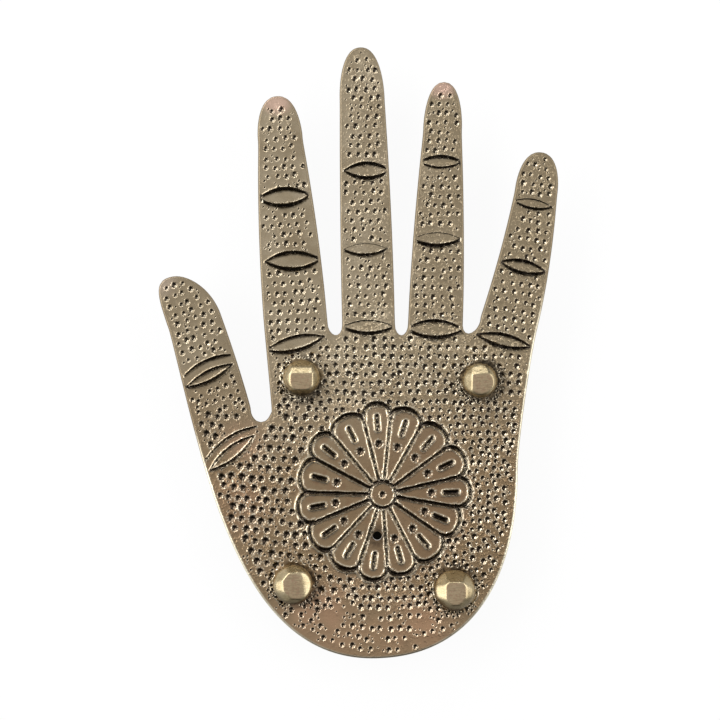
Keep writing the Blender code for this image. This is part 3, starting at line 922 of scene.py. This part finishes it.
def chased_plate():
    """The hand plate with soft worn edges, punched rows, finger creases, rosette and holes."""
    loops, rounds = plate_plan()
    hole = min(rounds, key=lambda item: item[1])[0]
    heads = {name: head_plan(name) for name in LEGS}
    ground, marks, lines = chase(loops[-1], hole, heads)
    plate = add_piece("chased_plate", plate_mesh(loops, rounds, ground, marks, lines))
    punched, scribed = punch_guide(marks), line_guide(lines)
    run_tree(
        plate, chasing_tree(), punch_marks=punched, scribed_lines=scribed, punch_depth=PUNCH_DEPTH,
        line_depth=LINE_DEPTH, finish=chased_brass(hole, heads),
    )
    bpy.data.objects.remove(punched)
    bpy.data.objects.remove(scribed)
    plate.data.shade_smooth()
    plate.data.set_sharp_from_angle(angle=math.radians(35))
    finish_piece(plate, "hand_plate")


def turned(name, rings, finish, sharp):
    """A closed shape from rings of points between two points on its axis, listed from the bottom up."""
    bm = bmesh.new()
    first, last = rings[0], rings[-1]
    made = [[bm.verts.new(point * MM) for point in ring] for ring in rings[1:-1]]
    for lower, upper in zip(made, made[1:]):
        bridge(bm, lower, upper)
    low, high = bm.verts.new(first * MM), bm.verts.new(last * MM)
    count = len(made[0])
    for number in range(count):
        bm.faces.new((low, made[0][(number + 1) % count], made[0][number]))
        bm.faces.new((high, made[-1][number], made[-1][(number + 1) % count]))
    piece = add_piece(name, bm)
    piece.data.materials.append(finish)
    piece.data.shade_smooth()
    piece.data.set_sharp_from_angle(angle=math.radians(sharp))
    return piece


def circle(middle, radius, height, count):
    """A level ring of points round an axis."""
    angles = [2 * math.pi * number / count for number in range(count)]
    return [Vector((*around(middle.xy, radius, angle), height)) for angle in angles]


def filed_flats(node, middle, radius, seat):
    """The flats on a stud's head in its solid, as their facings and distances from the bead's middle."""
    flats = []
    for face in node.data.polygons:
        depth = face.normal.dot(face.center / MM - middle)
        known = any(face.normal.dot(facing) > 0.999 for facing, _ in flats)
        if face.center.z / MM > seat - 0.01 and depth < 0.97 * radius and not known:
            flats.append((face.normal.copy(), depth))
    return flats


def filed_reach(way, radius, flats):
    """How far a bead reaches one way from its middle, with its flats filed on and their edges softened."""
    near = radius**-FLAT_CRISPNESS
    for facing, depth in flats:
        near += (max(0.0, facing.dot(way)) / depth) ** FLAT_CRISPNESS
    return near ** (-1 / FLAT_CRISPNESS)


def filed_stud(name, finish):
    """A bead head filed into soft-edged flats, on the shank that goes down into its foot."""
    low, high = (Vector(corner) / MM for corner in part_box(f"{name}_stud"))
    seat = plate_top + SEAT_GAP
    plan, radius = head_plan(name)
    middle = Vector((*plan, seat + HEAD_SEAT_DROP))
    flats = filed_flats(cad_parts[f"{name}_stud"], middle, radius, seat)
    shank = SHANK_DIAMETER / 2
    lowest_angle = math.pi - math.atan2(shank, HEAD_SEAT_DROP)
    rings = [Vector((*plan, low.z))]
    rings += [circle(middle, shank, height, HEAD_SIDES) for height in (low.z, seat)]
    for step in range(HEAD_STEPS):
        down = lowest_angle * (1 - (step + 1) / (HEAD_STEPS + 1))
        ring = []
        for number in range(HEAD_SIDES):
            turn = 2 * math.pi * number / HEAD_SIDES
            way = Vector((math.cos(turn) * math.sin(down), math.sin(turn) * math.sin(down), math.cos(down)))
            ring.append(middle + way * filed_reach(way, radius, flats))
        rings.append(ring)
    rings.append(Vector((*plan, high.z)))
    stud = turned(f"filed_{name}_stud", rings, finish, 60)
    finish_piece(stud, f"{name}_stud")


def foot_profile(base, low, high):
    """Radii and heights from a foot's underside up its base, waist and collar, and down into its socket."""
    profile = [(base - inset, low + up) for inset, up in FOOT_BASE]
    waist_radius, waist_low = profile[-1]
    collar_low = high - FOOT_COLLAR_HEIGHT
    for step in range(1, FOOT_WAIST_STEPS):
        share = step / FOOT_WAIST_STEPS
        straight = waist_radius + FOOT_WAIST_FLARE * share
        waist = straight + (FOOT_WAIST_RADIUS - straight) * math.sin(math.pi * share)
        profile.append((waist, waist_low + (collar_low - waist_low) * share))
    rounded = FOOT_COLLAR_RADIUS - FOOT_COLLAR_ROUNDING
    profile += [(rounded, collar_low), (FOOT_COLLAR_RADIUS, collar_low + FOOT_COLLAR_ROUNDING)]
    profile += [(FOOT_COLLAR_RADIUS, high - FOOT_COLLAR_ROUNDING), (rounded, high)]
    socket = SHANK_DIAMETER / 2 + SHANK_CLEARANCE
    return profile + [(socket, high), (socket, high - SOCKET_DEPTH)]


def turned_foot(name, finish):
    """A turned foot with a collar, a hollow waist and a rounded base, and a socket for the shank."""
    low, high = (Vector(corner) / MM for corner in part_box(f"{name}_foot"))
    middle = (low + high) / 2
    profile = foot_profile((high.x - low.x) / 2, low.z, high.z)
    rings = [Vector((*middle.xy, low.z))]
    rings += [circle(middle, radius, height, FOOT_SIDES) for radius, height in profile]
    rings.append(Vector((*middle.xy, high.z - SOCKET_DEPTH)))
    foot = turned(f"turned_{name}_foot", rings, finish, 40)
    finish_piece(foot, f"{name}_foot")


def in_millimetres(tree):
    """Object coordinates scaled to millimetres."""
    place = tree.nodes.new("ShaderNodeTexCoord").outputs["Object"]
    scaled = add_node(tree, "ShaderNodeVectorMath", operation="SCALE")
    plug(scaled.inputs[0], place)
    plug(scaled.inputs["Scale"], 1 / MM)
    return scaled.outputs["Vector"]


def axes(vector):
    """The three numbers of a vector, by name."""
    return add_node(vector.id_data, "ShaderNodeSeparateXYZ", {"Vector": vector}).outputs


def facings(tree):
    """Which way a surface faces, as numbers along the three axes."""
    return axes(tree.nodes.new("ShaderNodeNewGeometry").outputs["Normal"])


def noise(place, scale, detail, roughness=0.5):
    """Soft random patches."""
    inputs = {"Vector": place, "Scale": scale, "Detail": detail, "Roughness": roughness}
    return add_node(place.id_data, "ShaderNodeTexNoise", inputs).outputs["Fac"]


def stretched(place, turn, scale):
    """Coordinates turned about the upright axis and stretched, for scratches."""
    inputs = {"Vector": place, "Rotation": (0.0, 0.0, math.radians(turn)), "Scale": scale}
    return add_node(place.id_data, "ShaderNodeMapping", inputs).outputs["Vector"]


def shades(value, stops):
    """A colour ramp with the given places and colours."""
    ramp = add_node(value.id_data, "ShaderNodeValToRGB", {"Fac": value})
    ramp.color_ramp.elements[0].position = stops[0][0]
    ramp.color_ramp.elements[1].position = stops[-1][0]
    for place, _ in stops[1:-1]:
        ramp.color_ramp.elements.new(place)
    for element, (_, colour) in zip(ramp.color_ramp.elements, stops):
        element.color = (*colour, 1.0)
    return ramp.outputs["Color"]


def blended(share, first, second):
    """One colour with a share of another laid over it."""
    mix = add_node(share.id_data, "ShaderNodeMix", data_type="RGBA")
    plug(mix.inputs[0], share)
    for socket, colour in ((mix.inputs[6], first), (mix.inputs[7], second)):
        plug(socket, colour if isinstance(colour, bpy.types.NodeSocket) else (*colour, 1.0))
    return mix.outputs[2]


def bumped(height, distance, below=None):
    """A bump of the given height in millimetres, on top of another."""
    inputs = {"Height": height, "Distance": distance * MM, "Strength": 1.0}
    if below:
        inputs["Normal"] = below
    return add_node(height.id_data, "ShaderNodeBump", inputs).outputs["Normal"]


def new_metal(name):
    """A new metal, with its nodes and its shader."""
    material = bpy.data.materials.new(name)
    material.use_nodes = True
    shader = material.node_tree.nodes["Principled BSDF"]
    shader.inputs["Metallic"].default_value = 1.0
    return material, material.node_tree, shader


def near_place(place, middle, near, far):
    """1 close to a place on the plate's top, falling to 0 at a distance."""
    return remap(gap_between(place, (*middle, plate_top)), near, far, 1, 0)


class PlateSurface:
    """Values over the chased plate that its colour, gloss and relief are mixed from."""

    def __init__(self, tree):
        self.place = in_millimetres(tree)
        self.axes = axes(self.place)
        self.facing = facings(tree)
        self.cloud = noise(self.place, 0.16, 4, 0.6)
        self.fine = noise(self.place, 1.3, 3, 0.6)
        self.grain = noise(self.place, 2.2, 2)
        self.palm = near_place(self.place, on_plan(0, -6), 14, 48)
        self.rosette = near_place(self.place, on_plan(0, 0), 17.5, 19.5)
        self.wrist = self.along_y(30, 4, 0, 1)
        # Walls that face left or right, towards the side lamps: their grooves get a painted highlight and
        # less black
        self.sideways = remap(calculate("ABSOLUTE", self.facing["X"]), 0.25, 0.5, 0.0, 1.0)
        self.pits, self.grooves, self.lip, self.edge = (
            add_node(tree, "ShaderNodeAttribute", attribute_name=name).outputs["Fac"]
            for name in ("pits", "grooves", "lip", "worn_edge")
        )

    def along_x(self, low, high, to_low, to_high):
        """A range of places to the right on the plan, mapped onto another range."""
        return remap(self.axes["X"], PALM_X + low, PALM_X + high, to_low, to_high)

    def along_y(self, low, high, to_low, to_high):
        """A range of places up the plan, mapped onto another range."""
        return remap(self.axes["Y"], PALM_Y + low, PALM_Y + high, to_low, to_high)


def aged_colour(plate):
    """Greyer fingers, a browner palm, copper tints in places and a brown rosette."""
    place = plate.place
    colour = shades(plate.cloud, (
        (0.3, (0.335, 0.264, 0.17)), (0.5, (0.41, 0.334, 0.226)), (0.7, (0.48, 0.4, 0.284)),
    ))
    outer = highest(plate.along_x(-8, 18, 0.0, 0.85), plate.along_x(-24, -34, 0.0, 0.5))
    colour = blended(outer, colour, (0.315, 0.248, 0.158))
    colour = blended(product(plate.wrist, 0.8), colour, (0.28, 0.186, 0.102))
    colour = blended(plate.along_y(-18, -26, 0.0, 0.6), colour, (0.345, 0.25, 0.153))
    colour = blended(remap(plate.fine, 0.5, 0.75, 0, 0.4), colour, (0.26, 0.19, 0.115))
    for (x, y), near, far, least, tint in COPPERY:
        copper = near_place(place, on_plan(x, y), near, far)
        copper = product(copper, remap(plate.cloud, 0.35, 0.6, least, 0.85))
        colour = blended(copper, colour, tint)
    mottled = remap(noise(place, 0.55, 3), 0.5, 0.68, 0.0, 0.5)
    browned = plate.along_x(-12, 12, 0.0, 0.4)
    brown = highest(product(plate.rosette, mottled), product(plate.rosette, browned))
    return blended(brown, colour, (0.265, 0.155, 0.09))


def rim_wear_and_highlight(plate):
    """Where the plate's edge is worn bright, with a painted highlight: at the right of the palm and round its
    heel.
    """
    right = product(plate.along_x(20, 26, 0.0, 0.8), plate.along_y(44, 32, 0.0, 1.0))
    rim = highest(right, plate.along_y(14, 4, 0.0, 1.0))
    patches = remap(plate.cloud, 0.35, 0.6, 0.6, 1.0)
    return product(rim, plate.along_y(-36, -26, 0.3, 1.0), patches, plate.edge)


def painted_pit_highlights(plate):
    """Painted highlight on the walls of the punch marks that face up and to the left, towards the lamps
    there.
    """
    toward = calculate("SUBTRACT", plate.facing["Y"], plate.facing["X"])
    # How strong the painted highlight is, by region
    bare = highest(plate.along_x(-16, 0, 0.4, 0.9), remap(plate.palm, 0.3, 0.05, 0.0, 0.95))
    highlit_walls = remap(toward, 0.42, 0.7, 0.0, bare)
    on_rosette = remap(plate.rosette, 0.0, 1.0, 1.0, 0.25)
    return product(highlit_walls, plate.along_y(-26, -18, 0.75, 1.0), on_rosette)


def soot_and_shadow_places(plate, hole, heads):
    """Soot round the hole, soot and painted shadow round the studs, and 1 close to the grooves the rivet set
    left.
    """
    place, fine = plate.place, plate.fine
    soot_and_shadow = product(near_place(place, hole, 0.8, 3.2), remap(fine, 0.35, 0.6, 0.4, 1))
    set_grooves = 0.0
    patches = remap(noise(place, 0.32, 2), 0.42, 0.56, 0.15, 1.0)
    for name, (head, _) in heads.items():
        # Soot and painted shade in a broken ring round the head
        ring = product(near_place(place, head, 4.1, 5.2), patches)
        # A painted shadow against one side of the head
        painted_shadow = near_place(place, head + Vector(SHADOW_SIDES[name]), 4.2, 5.0)
        painted_shadow = product(painted_shadow, remap(fine, 0.44, 0.6, 1.0, 0.5))
        soot_and_shadow = highest(soot_and_shadow, ring, painted_shadow)
        set_grooves = highest(set_grooves, near_place(place, head, 4.8, 5.2))
    return soot_and_shadow, set_grooves


def worn_and_highlit_metal(plate, highlit_walls, set_grooves):
    """Bright metal: lips worn bare with a painted highlight, and painted highlights on walls that face the
    lamps.
    """
    least = remap(plate.palm, 0.1, 0.4, 0.0, 0.35)
    most = remap(plate.palm, 0.1, 0.4, 0.45, 1.0)
    lips = product(plate.lip, remap(plate.grain, 0.4, 0.6, least, most))
    groove_highlights = product(plate.sideways, remap(plate.grooves, 0.02, 0.25, 0.0, 0.8))
    pit_highlights = product(highlit_walls, plate.pits)
    return highest(lips, pit_highlights, product(plate.lip, set_grooves), groove_highlights)


def blackened(plate, highlit_walls, soot_and_shadow, set_grooves):
    """Patina in marks and grooves, less where highlights are painted; soot, painted shadow, dark underside.
    """
    spread = remap(plate.palm, 0.1, 0.5, 0.45, 0.35)
    deepest = remap(plate.wrist, 0.0, 1.0, 0.92, 0.95)
    # No black on the pit walls that carry the painted highlight
    in_pits = product(remap(plate.pits, 0.05, spread, 0.0, deepest), rest_of(highlit_walls))
    # Grooves are less black on walls that face the side lamps, to keep their painted highlight
    narrow = remap(plate.sideways, 0.0, 1.0, 0.06, 0.24)
    streaks = remap(plate.grooves, narrow, calculate("ADD", narrow, 0.3), 0.0, 1.0)
    least = remap(plate.sideways, 0.0, 1.0, 0.8, 0.25)
    broken = remap(plate.grain, 0.52, 0.66, 0.97, least)
    streaks = product(streaks, broken, rest_of(set_grooves))
    clean = calculate("SUBTRACT", 0.9, product(plate.lip, set_grooves))
    underside = remap(plate.facing["Z"], -0.6, -0.9, 0, 0.75)
    return highest(in_pits, streaks, product(soot_and_shadow, clean), underside)


def plate_gloss(plate, rim):
    """Roughness: smoother where the metal was struck, and dull on the edges outside the bright rim."""
    struck = highest(plate.pits, plate.grooves, plate.lip)
    rough = remap(plate.fine, 0.3, 0.7, 0.24, 0.36)
    rough = product(rough, remap(struck, 0.0, 0.5, 1.0, 0.6))
    return highest(rough, product(calculate("SUBTRACT", plate.edge, rim), 0.55))


def plate_relief(plate):
    """Uneven sheet metal with small dings, fewest on the rosette and the edges, and fine scratches."""
    place = plate.place
    dings = remap(noise(place, 1.8, 2), 0.52, 0.7, 0, 1)
    dings = product(
        dings, remap(plate.palm, 0.0, 0.5, 0.3, 1.0), rest_of(plate.edge),
        remap(plate.rosette, 0.0, 1.0, 1.0, 0.15), plate.along_y(-24, -16, 0.2, 1.0),
        plate.along_x(-14, 0, 0.3, 1.0),
    )
    worked = bumped(dings, 0.18, bumped(noise(place, 0.25, 2), 0.1))
    scratches = noise(stretched(place, 35, (0.35, 6.0, 1.0)), 1.6, 3)
    return bumped(scratches, 0.012, worked)


def chased_brass(hole, heads):
    """Aged brass with worn lips and painted highlights, black chasing, soot, and painted shade and shadow."""
    material, tree, shader = new_metal("chased_brass")
    plate = PlateSurface(tree)
    rim = rim_wear_and_highlight(plate)
    highlit_walls = painted_pit_highlights(plate)
    soot_and_shadow, set_grooves = soot_and_shadow_places(plate, hole, heads)
    colour = aged_colour(plate)
    # Painted shade: the rounded edge band is darkened, which dims its highlight
    colour = blended(product(plate.edge, 0.55), colour, (0.2, 0.16, 0.105))
    # Bright lips, worn and partly a painted highlight, and painted highlights on pit and groove walls
    colour = blended(worn_and_highlit_metal(plate, highlit_walls, set_grooves), colour, (0.84, 0.75, 0.58))
    # The rim, worn bright, with a painted highlight
    colour = blended(rim, colour, (0.92, 0.85, 0.66))
    # Patina, soot, a painted shadow beside each stud, and the dark underside
    colour = blended(blackened(plate, highlit_walls, soot_and_shadow, set_grooves), colour, (0.02, 0.016, 0.013))
    plug(shader.inputs["Base Color"], colour)
    plug(shader.inputs["Roughness"], plate_gloss(plate, rim))
    plug(shader.inputs["Normal"], plate_relief(plate))
    return material


def filed_brass():
    """Brighter yellow brass with file marks and spots on its tops, and painted shade low on the side towards
    the wrist.
    """
    material, tree, shader = new_metal("filed_brass")
    place = in_millimetres(tree)
    colour = shades(noise(place, 0.45, 3, 0.6), (
        (0.3, (0.35, 0.275, 0.155)), (0.5, (0.43, 0.35, 0.21)), (0.7, (0.5, 0.415, 0.265)),
    ))
    marks = noise(stretched(place, 4, (0.5, 5.0, 1.0)), 1.4, 3)
    spots = noise(place, 2.4, 2)
    facing = facings(tree)
    handled = remap(facing["Z"], 0.95, 0.99, 0.0, 1.0)
    low_down = remap(axes(place)["Z"], plate_top + 3.6, plate_top + 2.6, 0.0, 1.0)
    # Painted shade low on the side that faces the wrist
    painted_shade = product(remap(facing["Y"], -0.25, -0.7, 0.0, 0.85), low_down)
    spotted = product(handled, remap(spots, 0.5, 0.62, 0.0, 0.7))
    scored = product(handled, remap(marks, 0.52, 0.66, 0.0, 0.6))
    colour = blended(product(handled, 0.6), colour, (0.5, 0.37, 0.24))
    colour = blended(spotted, colour, (0.4, 0.26, 0.17))
    colour = blended(scored, colour, (0.25, 0.19, 0.12))
    colour = blended(painted_shade, colour, (0.085, 0.062, 0.04))
    plug(shader.inputs["Base Color"], colour)
    plug(shader.inputs["Roughness"], remap(marks, 0.3, 0.7, 0.25, 0.34))
    worked = bumped(noise(place, 0.7, 1), 0.05)
    plug(shader.inputs["Normal"], bumped(marks, 0.025, worked))
    return material


def turned_brass():
    """Brass with the fine lines that a lathe leaves."""
    material, tree, shader = new_metal("turned_brass")
    place = in_millimetres(tree)
    colour = shades(noise(place, 0.4, 3, 0.6), (
        (0.3, (0.3, 0.23, 0.13)), (0.5, (0.42, 0.335, 0.2)), (0.7, (0.52, 0.43, 0.27)),
    ))
    plug(shader.inputs["Base Color"], colour)
    lines = noise(stretched(place, 0, (0.05, 0.05, 6.0)), 1.5, 2)
    plug(shader.inputs["Roughness"], remap(lines, 0.3, 0.7, 0.2, 0.36))
    plug(shader.inputs["Normal"], bumped(lines, 0.03))
    return material


def mixed_shader(share, first, second):
    """One shader with a share of another."""
    mix = add_node(share.id_data, "ShaderNodeMixShader", {"Fac": share})
    plug(mix.inputs[1], first)
    plug(mix.inputs[2], second)
    return mix.outputs[0]


def white_floor(hole):
    """A pale floor that is white to the camera and in reflections, keeps shadows and is clear from below.

    A painted shadow shows through the incense hole, and it is painted dark in reflections beyond the wrist.
    """
    bm = bmesh.new()
    bmesh.ops.create_grid(bm, x_segments=1, y_segments=1, size=3.0)
    floor = add_piece("floor", bm)
    material = bpy.data.materials.new("white_floor")
    material.use_nodes = True
    tree = material.node_tree
    shader = tree.nodes["Principled BSDF"]
    rays = tree.nodes.new("ShaderNodeLightPath").outputs
    place = in_millimetres(tree)
    # Painted dark in reflections beyond the wrist
    beyond = product(rays["Is Glossy Ray"], remap(axes(place)["Y"], -62, -78, 0.0, 0.85))
    # A painted shadow on the floor under the plate, seen through the incense hole
    # The distances are from the hole, which is as high above the floor as the plate's top
    painted_hole_shadow = product(rays["Is Camera Ray"], near_place(place, hole, 10.5, 14))
    dark = highest(beyond, painted_hole_shadow)
    plug(shader.inputs["Base Color"], blended(dark, (0.92, 0.92, 0.92), (0.02, 0.02, 0.02)))
    shader.inputs["Roughness"].default_value = 0.9
    seen = highest(rays["Is Camera Ray"], rays["Is Glossy Ray"], rays["Is Transmission Ray"])
    white = highest(calculate("SUBTRACT", 0.93, dark), 0.0)
    glow = tree.nodes.new("ShaderNodeEmission").outputs[0]
    lit = mixed_shader(product(seen, white), shader.outputs[0], glow)
    below = tree.nodes.new("ShaderNodeNewGeometry").outputs["Backfacing"]
    clear = tree.nodes.new("ShaderNodeBsdfTransparent").outputs[0]
    plug(tree.nodes["Material Output"].inputs["Surface"], mixed_shader(below, lit, clear))
    floor.data.materials.append(material)


def add_softbox(name, place, target, size, power):
    """A soft area lamp that faces a place."""
    lamp = bpy.data.lights.new(name, "AREA")
    lamp.shape = "RECTANGLE"
    lamp.size, lamp.size_y = size
    lamp.energy = power
    box = bpy.data.objects.new(name, lamp)
    box.location = place
    box.rotation_euler = (Vector(target) - Vector(place)).to_track_quat("-Z", "Y").to_euler()
    bpy.context.scene.collection.objects.link(box)


def studio():
    """A white floor, a sky with bright sides and top, and soft boxes left, right and beyond the fingers."""
    white_floor(on_plan(*INCENSE_HOLE))
    world = bpy.data.worlds.new("studio")
    world.use_nodes = True
    tree = world.node_tree
    way = axes(tree.nodes.new("ShaderNodeTexCoord").outputs["Generated"])
    overhead = calculate("MULTIPLY_ADD", way["Y"], 0.16, way["Z"])
    top = remap(overhead, 0.64, 0.92, 0.0, 0.7)
    left = remap(way["X"], -0.75, -0.2, 0.8, 0.1)
    right = remap(way["X"], 0.3, 0.85, 0.05, 0.6)
    seen = tree.nodes.new("ShaderNodeLightPath").outputs["Is Camera Ray"]
    strength = highest(top, left, right, seen)
    plug(tree.nodes["Background"].inputs["Strength"], strength)
    tree.nodes["Background"].inputs["Color"].default_value = (1.0, 1.0, 1.0, 1.0)
    bpy.context.scene.world = world
    middle = (0, 0, 0.01)
    add_softbox("north_softbox", (-0.08, 0.52, 0.3), middle, (0.5, 0.12), 0.9)
    add_softbox("north_west_softbox", (-0.34, 0.36, 0.38), middle, (0.4, 0.26), 1.0)
    add_softbox("west_softbox", (-0.46, 0.02, 0.38), middle, (0.52, 0.36), 1.8)
    add_softbox("east_softbox", (0.46, 0.06, 0.38), middle, (0.6, 0.3), 1.6)


def camera():
    """Straight down on the plate, with the fingers up."""
    lens = bpy.data.cameras.new("camera")
    lens.lens = 100
    lens.sensor_width = 36
    lens.clip_start = 0.01
    eye = bpy.data.objects.new("camera", lens)
    eye.location = (CAMERA_X * MM, CAMERA_Y * MM, (plate_top + CAMERA_HEIGHT) * MM)
    bpy.context.scene.collection.objects.link(eye)
    bpy.context.scene.camera = eye


chased_plate()
bright = filed_brass()
lathe = turned_brass()
for leg_name in LEGS:
    filed_stud(leg_name, bright)
    turned_foot(leg_name, lathe)
studio()
camera()
bpy.context.scene.view_settings.view_transform = "Standard"
